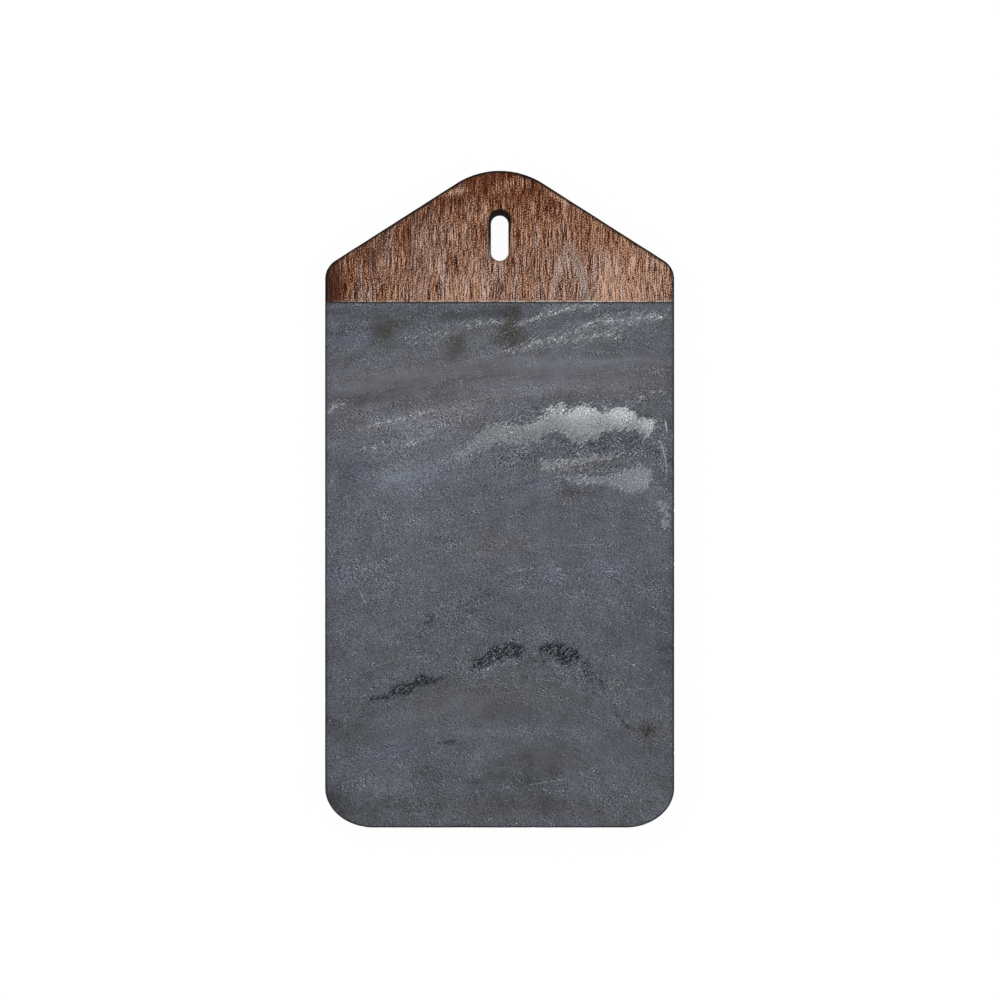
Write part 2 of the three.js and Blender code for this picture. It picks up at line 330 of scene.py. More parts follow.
# Fine scratches, listed the same way
SCRATCHES = [
    (1, 2.5, [(95.8, 44.5), (96.6, 40)]),
    (0.6, 2.5, [(93.4, 33), (94.8, 27), (96.4, 20.5)]),
    (0.35, 2.5, [(96.4, 20.5), (96.6, 16), (95.6, 11.1)]),
    (0.3, 2.5, [(-82, -51), (-77.2, -61)]),
    (0.3, 1.5, [(-79.4, -51.5), (-75.4, -60)]),
    (0.3, 2.5, [(17.7, -165), (37.5, -162)]),
    (0.22, 2.5, [(40, -26.8), (60, -26)]),
    (0.2, 2.5, [(73, -110), (88, -109.4)]),
    (0.2, 2.5, [(-70, -96), (-58, -92), (-44, -91)]),
]
# Where the crystals lie rough and catch the light in strokes
FLAKY_SPOTS = [
    (4, 103, 9, 7, 0, 0.5), (15, 48, 24, 6, 12, 0.55), (50, 30, 40, 8, 6, 0.6),
    (82, 28, 18, 12, 0, 0.45), (-50, 38, 30, 8, 12, 0.25), (84, 59, 12, 5, 20, 0.5),
    (5, 24, 16, 7, 10, 0.45), (48, 15, 26, 6, 5, 0.5), (-80, -9, 24, 6, 5, 0.25),
    (-30, -22, 8, 8, 0, 0.3), (-92, -37, 10, 8, 0, 0.5), (-68, -50, 13, 7, 20, 0.4),
    (-22, -63, 14, 9, 25, 0.4), (-46, -76, 10, 8, 30, 0.35), (30, -44, 22, 10, 0, 0.22),
    (0, -90, 30, 12, 0, 0.3), (50, -102, 22, 12, -35, 0.4), (30, 74, 72, 10, 2, -0.85),
    (-60, 66, 36, 9, 3, -0.8), (45, -16, 50, 14, 5, -0.25), (0, -121, 52, 10, 2, -0.6),
    (-62, -134, 16, 9, 5, -0.5), (22, -149, 24, 9, 0, -0.4), (66, -148, 16, 12, 0, -0.4),
]
# Rust left on the arris
RUST_SPOTS = [(-95, -178.5, 5, 2.6, -45, 0.8)]
RAGGED_SIZE = 3.2
RAGGED_REACH = 1.2
PALE_DEEPEST = 3.0
GLOW_GROWN = 2.0

# Layers of the stone: they arch over a crest that leans right, flatten upwards, and shift with depth
CREST_X = 18.0
CREST_Y = -110.0
CREST_LEAN = 0.28
LEFT_SLOPE = 0.36
LEFT_FLATTENING = 0.001
LEFT_ROUND = 35.0
RIGHT_SLOPE = 0.6
RIGHT_FLATTENING = 0.003
RIGHT_ROUND = 25.0
RIGHT_SLOPE_RANGE = (0.1, 0.7)
DEPTH_SHIFT_X = 0.4
DEPTH_SHIFT_Y = 0.8
FAINT_SHARE = 0.45
FAINT_BELOW_Y = 5.0
FAINT_FADE = 40.0

# Tone of the stone, lighter on its wisps and darker at its rim, and what makes it flaky
STONE_TONE = 0.58
WISP_TONE = 0.18
RIM_SHADE = 0.24
RIM_REACH = 5.0
FLAKY_WISP = 0.4
FLAKY_FRINGE = 0.35
FLAKY_LENS = 0.4
FLAKY_RANGE = (-0.9, 1.6)
FRINGE_DEPTH = 0.6
FRINGE_REACH = 0.5

# Patterns of the wood, placed the same way
WOOD_TONE = 0.435
WOOD_TONE_SPOTS = [
    (-99, 122, 8, 40, 0, -0.28), (-91, 122, 10, 14, 0, -0.1), (-75, 140, 8, 12, 20, -0.18),
    (-60, 119, 5, 5, 0, 0.1), (-52, 142, 3, 20, 0, -0.1), (-54, 154, 18, 8, 32, -0.1),
    (-34, 170, 18, 6, 30, -0.1), (-12, 122, 5, 9, 0, 0.16), (-18, 119, 18, 10, 0, 0.16),
    (4, 184, 60, 14, 0, -0.2), (2, 179, 6, 3, 0, 0.16), (10, 183, 9, 3, 0, 0.16),
    # Painted shade: the thin darker strips at (20, 186.2) and (44, 174.8) along the right flank near the
    # apex stand for the bevel there in shadow
    (-28, 177.5, 9, 1.6, 8, 0.5), (36, 173, 9, 1.3, -28, 0.5), (20, 186.2, 16, 1.6, -24, -0.3),
    (44, 174.8, 15, 1.4, -31, -0.26), (0, 121, 4, 6, 0, -0.1), (52.3, 132, 1, 14, 0, -0.2),
    (61, 124, 7, 16, 0, 0.22), (74, 122, 12, 16, 0, 0.15), (58, 151, 7, 6, -30, -0.1),
    (95, 121, 5, 7, 0, 0.1), (99.5, 133, 1.5, 5, 0, -0.3),
]
# Redder and more orange where above 0, greyer and pinker where below
WOOD_WARMTH = 0.5
WARMTH_SPOTS = [
    (4, 180, 60, 20, 0, 0.6), (-12, 150, 4, 12, 0, 0.75), (0, 176, 9, 10, 0, 0.35),
    (-18, 175, 8, 8, 0, -0.25), (-85, 128, 6, 18, 0, 0.6), (-99, 122, 6, 30, 0, -0.25),
    (-60, 124, 5, 10, 0, 0.25), (-29, 158, 2, 14, 0, 0.4), (-58, 154, 12, 6, 32, 0.25),
    (14, 158, 14, 16, 0, 0.5), (49, 158, 5, 16, 0, 0.8), (64, 150, 14, 8, -30, 1),
    (74, 126, 20, 14, 0, 0.3), (97, 126, 4, 14, 0, 0.9), (41, 130, 9, 14, 0, -0.2),
    (-77, 119, 5, 5, 0, -0.4),
]
# Pale arched rings in the wood, clearest on their right
FIGURE_X = 40.3
FIGURE_Y = 147.5
FIGURE_SLOPE = 2.3
FIGURE_ROUND = 3.6
FIGURE_SPREAD = 0.0006
FIGURE_REACH = 14.5
FIGURE_SPACING = 5.0
FIGURE_START = 2.0
FIGURE_FADE = 3.0
FIGURE_SHARE = 0.85
FIGURE_RIGHT_SHARE = 0.15
FIGURE_RIGHT_WIDTH = 3.0

# Lighter wood right of a step, darker end grain, glue showing along the seam, and painted shade with some
# dark stain on the slot's rim, strongest on its half towards the apex
STEP_X = 53.0
STEP_WIDTH = 1.5
STEP_TONE = 0.12
END_GRAIN_TONE = 0.14
SEAM_SHARE = 0.7
SEAM_RIGHT_SHARE = 0.3
SLOT_RIM_DEPTH = 0.7
SLOT_RIM_FADE = 20.0
SLOT_RIM_LEAST = 0.3
SURFACE_SLACK = 0.01


def spots(x, y, listed):
    """The sum of soft spots at each point."""
    total = np.zeros_like(x)
    for middle_x, middle_y, half_length, half_width, tilt, strength in listed:
        turn = math.radians(tilt)
        along = (x - middle_x) * math.cos(turn) + (y - middle_y) * math.sin(turn)
        across = (y - middle_y) * math.cos(turn) - (x - middle_x) * math.sin(turn)
        total += strength * np.exp(-(along / half_length) ** 2 - (across / half_width) ** 2)
    return total


def off_segment(x, y, start, end):
    """How far each point is from a straight line between two ends."""
    (x0, y0), (x1, y1) = start, end
    part = ((x - x0) * (x1 - x0) + (y - y0) * (y1 - y0)) / ((x1 - x0) ** 2 + (y1 - y0) ** 2)
    part = np.clip(part, 0.0, 1.0)
    return np.hypot(x - x0 - part * (x1 - x0), y - y0 - part * (y1 - y0))


def enclosed(x, y, loop):
    """Whether each point is inside a closed loop."""
    within = np.zeros(len(x), bool)
    for (x0, y0), (x1, y1) in zip(loop, np.roll(loop, -1, axis=0)):
        if y0 != y1:
            within ^= ((y0 > y) != (y1 > y)) & (x < x0 + (y - y0) / (y1 - y0) * (x1 - x0))
    return within


def patches(x, y, listed, deepest=1.0, grown=0.0):
    """How far each point is inside the strongest patch: 0 outside, half its strength on its outline."""
    most = np.zeros_like(x)
    for strength, soft, outline in listed:
        away = np.full_like(x, np.inf)
        for start, end in zip(outline, outline[1:] + outline[:1]):
            away = np.minimum(away, off_segment(x, y, start, end))
        depth = np.where(enclosed(x, y, outline), away, -away) + grown
        most = np.maximum(most, strength * np.clip(0.5 + depth / (2 * soft), 0.0, deepest))
    return most


def ragged(x, y, seed):
    """The points moved about a little, so that what is drawn on them has a ragged outline."""
    noise.seed_set(seed)
    moved = np.array([noise.noise_vector(Vector((a, b, seed)) / RAGGED_SIZE) for a, b in zip(x, y)])
    return x + RAGGED_REACH * moved[:, 0], y + RAGGED_REACH * moved[:, 1]


def lines(x, y, listed):
    """How near each point is to the nearest line, and how far to its left.

    The nearness is the line's strength on it and 0 at its reach.
    """
    nearest = np.zeros_like(x)
    left = np.zeros_like(x)
    for strength, reach, points in listed:
        for (x0, y0), (x1, y1) in zip(points, points[1:]):
            away = off_segment(x, y, (x0, y0), (x1, y1))
            near = strength * (1 - away / reach)
            side = (x1 - x0) * (y - y0) - (y1 - y0) * (x - x0)
            left = np.where(near > nearest, np.copysign(away, side), left)
            nearest = np.maximum(nearest, near)
    return nearest, left


def bedding(x, y):
    """How far up the folded layers of the stone a point is."""
    rise = y - CREST_Y
    across = x - CREST_X - CREST_LEAN * rise
    left = LEFT_SLOPE - LEFT_FLATTENING * rise
    left = left * (np.hypot(across, LEFT_ROUND) - LEFT_ROUND)
    right = np.clip(RIGHT_SLOPE - RIGHT_FLATTENING * rise, *RIGHT_SLOPE_RANGE)
    right = right * (np.hypot(across, RIGHT_ROUND) - RIGHT_ROUND)
    return y + np.where(across < 0, left, right)


# Outlines
def resample(points, step):
    """The same line with points one step apart."""
    points = np.array(points)
    run = np.concatenate([[0.0], np.cumsum(np.linalg.norm(np.diff(points, axis=0), axis=1))])
    at = np.linspace(0.0, run[-1], round(run[-1] / step) + 1)
    return np.column_stack([np.interp(at, run, points[:, k]) for k in (0, 1)])


def arc(x, y, radii, start, end):
    """Points on an arc of a circle or ellipse, from one angle to another in radians."""
    across, along = np.broadcast_to(radii, 2)
    angles = np.linspace(start, end, ARC_STEPS)
    return list(zip(x + across * np.cos(angles), y + along * np.sin(angles)))


def stone_outline():
    """The slab's outline, from the joint down the left side, round the end and up to the joint."""
    radii = (CORNER_ACROSS, CORNER_ALONG)
    corner_x = HALF_WIDTH - CORNER_ACROSS
    corner_y = STONE_LOW[1] + CORNER_ALONG
    points = [(-HALF_WIDTH, STONE_JOINT_Y)]
    points += arc(-corner_x, corner_y, radii, math.pi, 1.5 * math.pi)
    points += arc(corner_x, corner_y, radii, 1.5 * math.pi, 2 * math.pi)
    points += [(HALF_WIDTH, STONE_JOINT_Y)]
    return resample(points, OUTLINE_STEP)


def wood_outline():
    """The gable's outline, from the joint up the right side, over the apex and down to the joint."""
    shoulder_x = HALF_WIDTH - SHOULDER_RADIUS
    shoulder_y = WOOD_JOINT_Y + WOOD_SIDE
    apex_y = WOOD_HIGH[1] - APEX_RADIUS
    rise = apex_y - shoulder_y
    lean = math.asin((APEX_RADIUS - SHOULDER_RADIUS) / math.hypot(shoulder_x, rise))
    facing = math.pi / 2 - math.atan2(rise, shoulder_x) - lean
    points = [(HALF_WIDTH, WOOD_JOINT_Y)]
    points += arc(shoulder_x, shoulder_y, SHOULDER_RADIUS, 0.0, facing)
    points += arc(0.0, apex_y, APEX_RADIUS, facing, math.pi - facing)
    points += arc(-shoulder_x, shoulder_y, SHOULDER_RADIUS, math.pi - facing, math.pi)
    points += [(-HALF_WIDTH, WOOD_JOINT_Y)]
    return resample(points, OUTLINE_STEP)


def slot_outline():
    """The slot's outline, run the other way round, with its last point left off."""
    radius = SLOT_WIDTH / 2
    half = SLOT_LENGTH / 2 - radius
    points = arc(0.0, SLOT_Y + half, radius, math.pi, 0.0)
    points += arc(0.0, SLOT_Y - half, radius, 0.0, -math.pi)
    points += [points[0]]
    return resample(points, OUTLINE_STEP)[:-1]


def inward(outline, closed):
    """Unit vectors across an outline, towards the material on its left."""
    if closed:
        ahead = np.roll(outline, -1, axis=0) - np.roll(outline, 1, axis=0)
    else:
        ahead = np.gradient(outline, axis=0)
    ahead = ahead / np.linalg.norm(ahead, axis=1, keepdims=True)
    return np.column_stack([-ahead[:, 1], ahead[:, 0]])


class Shell:
    """The growing surface of one piece: points in millimetres, how far each is on an arris with its painted
    shade, and faces.
    """

    def __init__(self):
        self.points = np.zeros((0, 3))
        self.arris = np.zeros(0)
        self.faces = []

    def put(self, points, arris):
        """Adds points and gives their numbers, in the shape they came in."""
        first = len(self.points)
        self.points = np.vstack([self.points, points.reshape(-1, 3)])
        self.arris = np.concatenate([self.arris, np.broadcast_to(arris, points.shape[:-1]).ravel()])
        return np.arange(first, len(self.points)).reshape(points.shape[:-1])

    def skin(self, grid, closed):
        """Four-sided faces over a grid of point numbers."""
        rows = len(grid) if closed else len(grid) - 1
        for i in range(rows):
            j = (i + 1) % len(grid)
            for k in range(grid.shape[1] - 1):
                self.faces.append((grid[i][k], grid[i][k + 1], grid[j][k + 1], grid[j][k]))

    def fill(self, rim, holes, inner, axes, flip):
        """Fills a flat face inside a rim and around convex holes, with inner points in it."""
        loops = [list(rim)] + [list(hole) for hole in holes]
        numbers = [number for loop in loops for number in loop] + list(inner)
        flat = [Vector(self.points[number][axes]) for number in numbers]
        edges = []
        start = 0
        for loop in loops:
            edges += [(start + k, start + (k + 1) % len(loop)) for k in range(len(loop))]
            start += len(loop)
        triangles = delaunay_2d_cdt(flat, edges, [], 1, 1e-5)[2]
        hole_sets = [set(hole) for hole in holes]
        for triangle in triangles:
            corners = [numbers[k] for k in triangle]
            if not any(hole.issuperset(corners) for hole in hole_sets):
                self.faces.append(tuple(reversed(corners)) if flip else tuple(corners))

    def grid_inside(self, loops, step, z):
        """New points one step apart on a flat face, clear of its rims and out of its holes."""
        rim = np.vstack([self.points[loop] for loop in loops])
        tree = KDTree(len(rim))
        for number, point in enumerate(rim):
            tree.insert((point[0], point[1], 0.0), number)
        tree.balance()
        low, high = rim.min(axis=0), rim.max(axis=0)
        xs = np.linspace(low[0], high[0], round((high[0] - low[0]) / step) + 1)
        ys = np.linspace(low[1], high[1], round((high[1] - low[1]) / step) + 1)
        grid = np.array([(x + (step / 2 if row % 2 else 0.0), y) for row, y in enumerate(ys) for x in xs])
        free = enclosed(*grid.T, self.points[loops[0], :2])
        for hole in loops[1:]:
            free &= ~enclosed(*grid.T, self.points[hole, :2])
        clear = [tree.find((x, y, 0.0))[2] > FILL_MARGIN * step for x, y in grid[free]]
        return self.put(np.array([(x, y, z) for x, y in grid[free][clear]]), 0.0)


def worn_radius(outline, radius, seed):
    """The arris radius at each outline point, worn more in some places."""
    wear = np.array([noise.noise(Vector((x, y, seed)) / ARRIS_WEAR_LENGTH) for x, y in outline])
    return radius * (1 + ARRIS_WEAR * wear)


def nicks(outline, seed):
    """How far the arris is chipped back at each outline point."""
    depth = np.array([noise.noise(Vector((x, y, seed)) / NICK_LENGTH) for x, y in outline])
    return NICK_DEPTH * np.clip((depth - NICK_FROM) / NICK_RANGE, 0.0, 1.0)


def sweep_edge(shell, outline, closed, edge, seed):
    """Rounds over an outline from the top face down its side to the underside, and gives the point grid."""
    across = inward(outline, closed)
    top = worn_radius(outline, edge.radius, seed)
    under = worn_radius(outline, edge.radius, seed + UNDER_SEED)
    chip = nicks(outline, seed + NICK_SEED) if edge.nicked else np.zeros(len(outline))
    if not closed:
        order = np.arange(len(outline))
        arris_wear_and_shade = np.minimum(1.0, np.minimum(order, order[::-1]) / UNWORN_POINTS)
        top = edge.radius + (top - edge.radius) * arris_wear_and_shade
        under = edge.radius + (under - edge.radius) * arris_wear_and_shade
        chip = chip * arris_wear_and_shade
    inset = [top + FACE_STRIP]
    height = [np.full(len(outline), TOP_Z)]
    # The arris value is painted shade: faint on a strip of the face, deepest round the curve, and set by
    # on_side down the side
    arris = [edge.on_face - FACE_STRIP_FADE]
    for turn in np.linspace(0.0, math.pi / 2, ARRIS_STEPS + 1):
        inset.append(top * (1 - math.sin(turn)) + chip * math.sin(turn) ** 2)
        height.append(TOP_Z - top * (1 - math.cos(turn)))
        arris.append(min(1.0, edge.on_face + ARRIS_GAIN * math.sin(turn)))
    for part in np.linspace(0.0, 1.0, SIDE_STEPS + 1)[1:-1]:
        inset.append(chip * max(0.0, 1 - part / NICK_RUNOUT))
        height.append((TOP_Z - top) * (1 - part) + (UNDER_Z + under) * part)
        arris.append(edge.on_side)
    for turn in np.linspace(math.pi / 2, 0.0, ARRIS_STEPS + 1):
        inset.append(under * (1 - math.sin(turn)))
        height.append(UNDER_Z + under * (1 - math.cos(turn)))
        arris.append(min(1.0, edge.on_face + ARRIS_GAIN * math.sin(turn)))
    flat = outline[:, None, :] + across[:, None, :] * np.array(inset).T[:, :, None]
    grid = shell.put(np.dstack([flat, np.array(height).T]), np.array(arris))
    shell.skin(grid, closed)
    return grid


def joint_edge(shell, first, last):
    """Points on a straight edge between two points of the shell, with the two at its ends."""
    start, end = shell.points[first], shell.points[last]
    count = round(np.linalg.norm(end - start) / OUTLINE_STEP)
    parts = np.linspace(0.0, 1.0, count + 1)[1:-1, None]
    between = shell.put(start + (end - start) * parts, 0.0)
    return [first, *between, last]


def dowel_hole(shell, x, joint_y, end_y):
    """A blind round hole from the joint face, and the ring of points at its mouth."""
    angles = np.linspace(0.0, 2 * math.pi, HOLE_SIDES, endpoint=False)
    if end_y < joint_y:
        angles = -angles
    ring = np.column_stack([x + HOLE_RADIUS * np.cos(angles), np.zeros(HOLE_SIDES),
                            DOWEL_Z + HOLE_RADIUS * np.sin(angles)])
    depths = np.linspace(joint_y, end_y, HOLE_RINGS)
    grid = shell.put(np.stack([ring + (0.0, depth, 0.0) for depth in depths], axis=1), 0.0)
    shell.skin(grid, True)
    shell.fill(grid[:, -1], [], [], [0, 2], end_y < joint_y)
    return grid[:, 0]


def board_part(outline, joint_y, hole_end_y, edge, seed, slot=None):
    """One half of the board as a closed shell: eased edges, flat faces, and a joint face with two holes."""
    shell = Shell()
    grid = sweep_edge(shell, outline, False, edge, seed)
    slot_grids = []
    if slot is not None:
        slot_grids.append(sweep_edge(shell, slot, True, SLOT_EDGE, seed + SLOT_SEED))
    top_joint = joint_edge(shell, grid[-1][0], grid[0][0])
    under_joint = joint_edge(shell, grid[-1][-1], grid[0][-1])
    for column, joint, step, flip, z in ((0, top_joint, FACE_STEP, False, TOP_Z),
                                         (-1, under_joint, UNDER_STEP, True, UNDER_Z)):
        rim = list(grid[:, column]) + joint[1:-1]
        holes = [slot_grid[:, column] for slot_grid in slot_grids]
        inner = shell.grid_inside([np.array(rim), *holes], step, z)
        shell.fill(rim, holes, inner, [0, 1], flip)
    mouths = [dowel_hole(shell, x, joint_y, hole_end_y) for x in (-DOWEL_X, DOWEL_X)]
    rim = top_joint + list(grid[0][1:-1]) + under_joint[::-1] + list(grid[-1][-2:0:-1])
    shell.fill(rim, mouths, [], [0, 2], hole_end_y < joint_y)
    return shell


def in_scene(name, data):
    """A new object, put in the scene."""
    made = bpy.data.objects.new(name, data)
    bpy.context.scene.collection.objects.link(made)
    return made


def make_piece(name, shell, attributes, material, nodes):
    """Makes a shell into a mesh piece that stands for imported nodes, with values for its material."""
    mesh = bpy.data.meshes.new(name)
    mesh.from_pydata((shell.points * MM).tolist(), [], [[int(k) for k in face] for face in shell.faces])
    for key, values in attributes.items():
        mesh.attributes.new(key, "FLOAT", "POINT").data.foreach_set("value", np.asarray(values, np.float32))
    mesh.polygons.foreach_set("use_smooth", [True] * len(mesh.polygons))
    mesh.set_sharp_from_angle(angle=math.radians(SHARP_ANGLE))
    mesh.materials.append(material)
    mesh.validate()
    piece = in_scene(name, mesh)
    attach(piece, "root")
    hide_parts(*nodes)


# Materials
def stone_patterns(tree, at):
    """Patterns that the stone's colours share: along its layers, in feathery strokes, and as grains.

    The crystals and honing marks are finer than a pixel of the render, so they are drawn as grains about
    0.3 mm wide, and as longer hairs and brush marks, to show.
    """
    layers = add(tree, "CombineXYZ", {"X": at.along, "Y": at.bed})
    rough = pattern(tree, layers, (26.0, 6.0, 1.0), detail=2.0, warp=1.0)
    turned = add(tree, "Mapping", {"Vector": at.place, "Rotation": (0.0, 0.0, math.radians(FEATHER_TURN))},
                 vector_type="TEXTURE")
    feather = pattern(tree, turned, (3.6, 1.3, 2.0), detail=2.0, roughness=0.7)
    return SimpleNamespace(
        bands=pattern(tree, layers, (55.0, 8.0, 1.0), detail=3.0, warp=1.6),
        flakes=pattern(tree, layers, (26.0, 8.0, 1.0), detail=2.0, warp=2.4),
        slivers=pattern(tree, layers, (11.0, 3.4, 1.0), detail=2.0, warp=2.0),
        rough=add(tree, "MapRange", {"Value": rough, "From Min": 0.45, "From Max": 0.7}),
        cloud=pattern(tree, at.place, [14.0] * 3, detail=1.0),
        mottle=pattern(tree, at.place, [7.0] * 3, detail=3.0, roughness=0.6, warp=0.8),
        wiggle=pattern(tree, at.place, [3.2] * 3, detail=3.0, roughness=0.6),
        feather=add(tree, "Math", {0: feather, 1: 0.5}, operation="SUBTRACT"),
        fine=grain(tree, at.place, 62, 0.74, 0.32),
        hair=grain(tree, at.place, 66, 2.2, 0.48, warp=0.8),
        brush=grain(tree, at.place, 60, 5.5, 0.65, warp=0.5),
    )


def stone_grey(tree, at, drawn):
    """Greys in folded bands and clouds, from warm to bluish."""
    hue = chain(tree, at.hue, (drawn.cloud, 0.5), (drawn.rough, 0.08), **SUM)
    hue = add(tree, "MapRange", {"Value": hue, "From Min": -0.7, "From Max": 1.5})
    grey = add(tree, "ValToRGB", {"Fac": hue}, stops=[(0.0, "#5f5c60"), (0.5, "#585c63"), (1.0, "#575b6b")])
    folded = chain(tree, -0.37, (drawn.bands, 0.5), **SUM)
    for thin, reach, share in ((drawn.flakes, 0.08, 0.14), (drawn.slivers, 0.1, 0.1)):
        thin = add(tree, "MapRange", {"Value": thin, "From Min": 0.5 - reach, "From Max": 0.5 + reach},
                   interpolation_type="SMOOTHSTEP")
        folded = chain(tree, folded, (thin, share), **SUM)
    level = chain(tree, at.tone, (folded, at.layered), **SUM)
    level = chain(tree, level, (drawn.cloud, 0.42), (drawn.mottle, 0.4), **SUM)
    level = add(tree, "Math", {0: level, 1: 0.25}, operation="MAXIMUM")
    return add(tree, "VectorMath", {0: grey, "Scale": level}, operation="SCALE")


def stone_patches(tree, at, drawn, colour):
    """Brown stains, pale patches and netted dark lenses, and how far the pale patches cover the stone."""
    # Brown stain in the stone, its own colour
    stained = chain(tree, at.stain, (drawn.feather, 1.0), (drawn.fine, 0.6), **SUM)
    stained = add(tree, "MapRange", {"Value": stained, "From Min": 0.1, "From Max": 0.9, "To Max": 0.75})

    cover = chain(tree, at.pale, (drawn.feather, 1.9), (drawn.hair, 1.5), **SUM)
    cover = add(tree, "MapRange", {"Value": cover, "From Min": 0.5, "From Max": 0.54})
    glow = add(tree, "Math", {0: cover, 1: at.glow}, operation="MULTIPLY", use_clamp=True)

    within = chain(tree, at.dark, (drawn.feather, 1.0), (drawn.hair, 0.9), **SUM)
    within = add(tree, "MapRange", {"Value": within, "From Min": 0.42, "From Max": 0.6, "To Max": 0.62})
    deep = chain(tree, within, (at.dark, 0.22), **SUM)
    netted = chain(tree, 1.06, (drawn.hair, -2.8), (drawn.fine, -1.7), **SUM)
    deep = add(tree, "Math", {0: deep, 1: netted}, operation="MULTIPLY", use_clamp=True)

    colour = chain(tree, colour, (stained, "#37332c"), (glow, "#c6c8cc"), (deep, "#14161e"), **COAT)
    return colour, cover


def stone_wisps(tree, at, drawn, colour):
    """Pale wisps, with a thin wavering thread along each."""
    wisp = chain(tree, at.wisp, (drawn.feather, 1.4), (drawn.brush, 1.8), **SUM)
    wisp = add(tree, "MapRange", {"Value": wisp, "From Min": 0.5, "From Max": 1.15, "To Max": 0.31})

    thread = chain(tree, -3.5, (drawn.wiggle, 7.0), (at.thread, 1.0), **SUM)
    thread = add(tree, "Math", {0: thread}, operation="ABSOLUTE")
    thread = add(tree, "MapRange", {"Value": thread, "From Min": 0.5, "From Max": 0.1})
    threaded = chain(tree, at.wisp, (drawn.feather, 1.8), **SUM)
    threaded = add(tree, "MapRange", {"Value": threaded, "From Min": 0.35, "From Max": 0.9, "To Max": 0.4})
    thread = add(tree, "Math", {0: thread, 1: threaded}, operation="MULTIPLY")

    return chain(tree, colour, (wisp, "#b4b7b9"), (thread, "#c6c8c8"), **COAT)


def stone_crystals(tree, at, drawn, colour, cover):
    """Light and dark crystals: stronger where the stone is flaky, and calmer in the pale patches."""
    contrast = chain(tree, 1.95, (at.flaky, 2.1), (drawn.rough, 2.6), **SUM)
    uneven = chain(tree, 1.0, (drawn.feather, 4.6), **SUM)
    contrast = add(tree, "Math", {0: contrast, 1: uneven}, operation="MULTIPLY")
    shown = chain(tree, 0.7, (at.flaky, 2.2), **SUM)
    shown = add(tree, "Math", {0: shown, 1: 0.0}, operation="MAXIMUM")
    lit = chain(tree, 0.0, (drawn.fine, contrast), (drawn.hair, shown), **SUM)
    calm = chain(tree, 1.0, (cover, -0.3), **SUM)
    lit = add(tree, "Math", {0: lit, 1: calm}, operation="MULTIPLY")
    lit = chain(tree, 1.0, (lit, 0.43), **SUM)
    lit = add(tree, "Math", {0: lit, 1: 0.3}, operation="MAXIMUM")
    lit = add(tree, "Math", {0: lit, 1: 2.3}, operation="POWER")
    return add(tree, "VectorMath", {0: colour, "Scale": lit}, operation="SCALE")


def stone_marks(tree, at, drawn, colour):
    """Broken scratches, pale specks, painted shade on the arris with rust over it, and painted shade along
    the joint.
    """
    scratch = add(tree, "Math", {0: at.scratch}, operation="ABSOLUTE")
    scratch = add(tree, "MapRange", {"Value": scratch, "From Min": 0.5, "From Max": 0.15})
    broken = chain(tree, at.scratched, (drawn.fine, 2.0), **SUM)
    broken = add(tree, "Math", {0: broken, 1: at.scratched}, operation="MINIMUM")
    broken = add(tree, "Math", {0: broken, 1: 0.0}, operation="MAXIMUM")
    scratch = add(tree, "Math", {0: scratch, 1: broken}, operation="MULTIPLY")
    speck = add(tree, "TexVoronoi", {"Vector": at.place, "Scale": 1 / 6.5})
    speck = add(tree, "MapRange", {"Value": speck, "From Min": 0.08, "From Max": 0.04, "To Max": 0.28})
    # Painted shade on the arris, which turns away from the light, with rust stain over it in one place
    arris_wear_and_shade = chain(tree, "#1d1f22", (at.rust, "#6b4330"), **COAT)
    edge = add(tree, "Math", {0: at.arris, 1: 0.85}, operation="MULTIPLY")
    # Painted shade in a thin line on the stone along the joint, where the groove of the bond lies in shadow
    joint = add(tree, "MapRange", {"Value": at.joint, "From Min": 0.75, "From Max": 0.25,
                                   "To Max": 0.65})
    return chain(tree, colour, (scratch, "#c9cbcd"), (speck, "#b9bbbd"), (edge, arris_wear_and_shade), (joint, "#191817"),
                 **COAT)


def honed_marble(carried):
    """Grey marble, sawn and honed: satin, with folded bands, feathery pale patches and dark lenses."""
    material, tree, shader, at = new_material("honed_grey_marble", carried)
    drawn = stone_patterns(tree, at)
    colour = stone_grey(tree, at, drawn)
    colour, cover = stone_patches(tree, at, drawn, colour)
    colour = stone_wisps(tree, at, drawn, colour)
    colour = stone_crystals(tree, at, drawn, colour, cover)
    colour = stone_marks(tree, at, drawn, colour)
    rough = add(tree, "MapRange", {"Value": drawn.fine, "From Min": -0.4, "From Max": 0.4,
                                   "To Min": 0.42, "To Max": 0.56})
    rough = add(tree, "Math", {0: at.arris, 1: rough}, operation="MAXIMUM")
    bump = add(tree, "Bump", {"Height": drawn.feather, "Strength": 0.3, "Distance": 0.1 * MM})
    connect(tree, shader, {"Base Color": colour, "Roughness": rough, "Normal": bump, "IOR": 1.5,
                           "Specular IOR Level": 0.25})
    return material


def wood_patterns(tree, at):
    """Patterns that the wood's colours share: streaks, fibres and pores along its grain, and specks.

    Its pores are about a fifth of a millimetre wide, so they are drawn more than twice that to show.
    """
    wander = pattern(tree, at.place, [45.0] * 3, detail=2.0, out="Color")
    shifted = add(tree, "VectorMath", {0: wander, 1: (9.0, 0.0, 0.0), 2: at.place},
                  operation="MULTIPLY_ADD")
    return SimpleNamespace(
        streaks=pattern(tree, shifted, (2.4, 34.0, 10.0)),
        fibres=pattern(tree, shifted, (0.5, 16.0, 0.5)),
        pores=pattern(tree, shifted, (0.46, 5.0, 0.46)),
        squeezed=pattern(tree, at.place, (5.0, 9.0, 9.0), detail=3.0, roughness=0.7),
        fine=grain(tree, at.place, 33, 0.5, 0.48),
        tint=grain(tree, at.place, 12, 0.75, 0.65),
    )


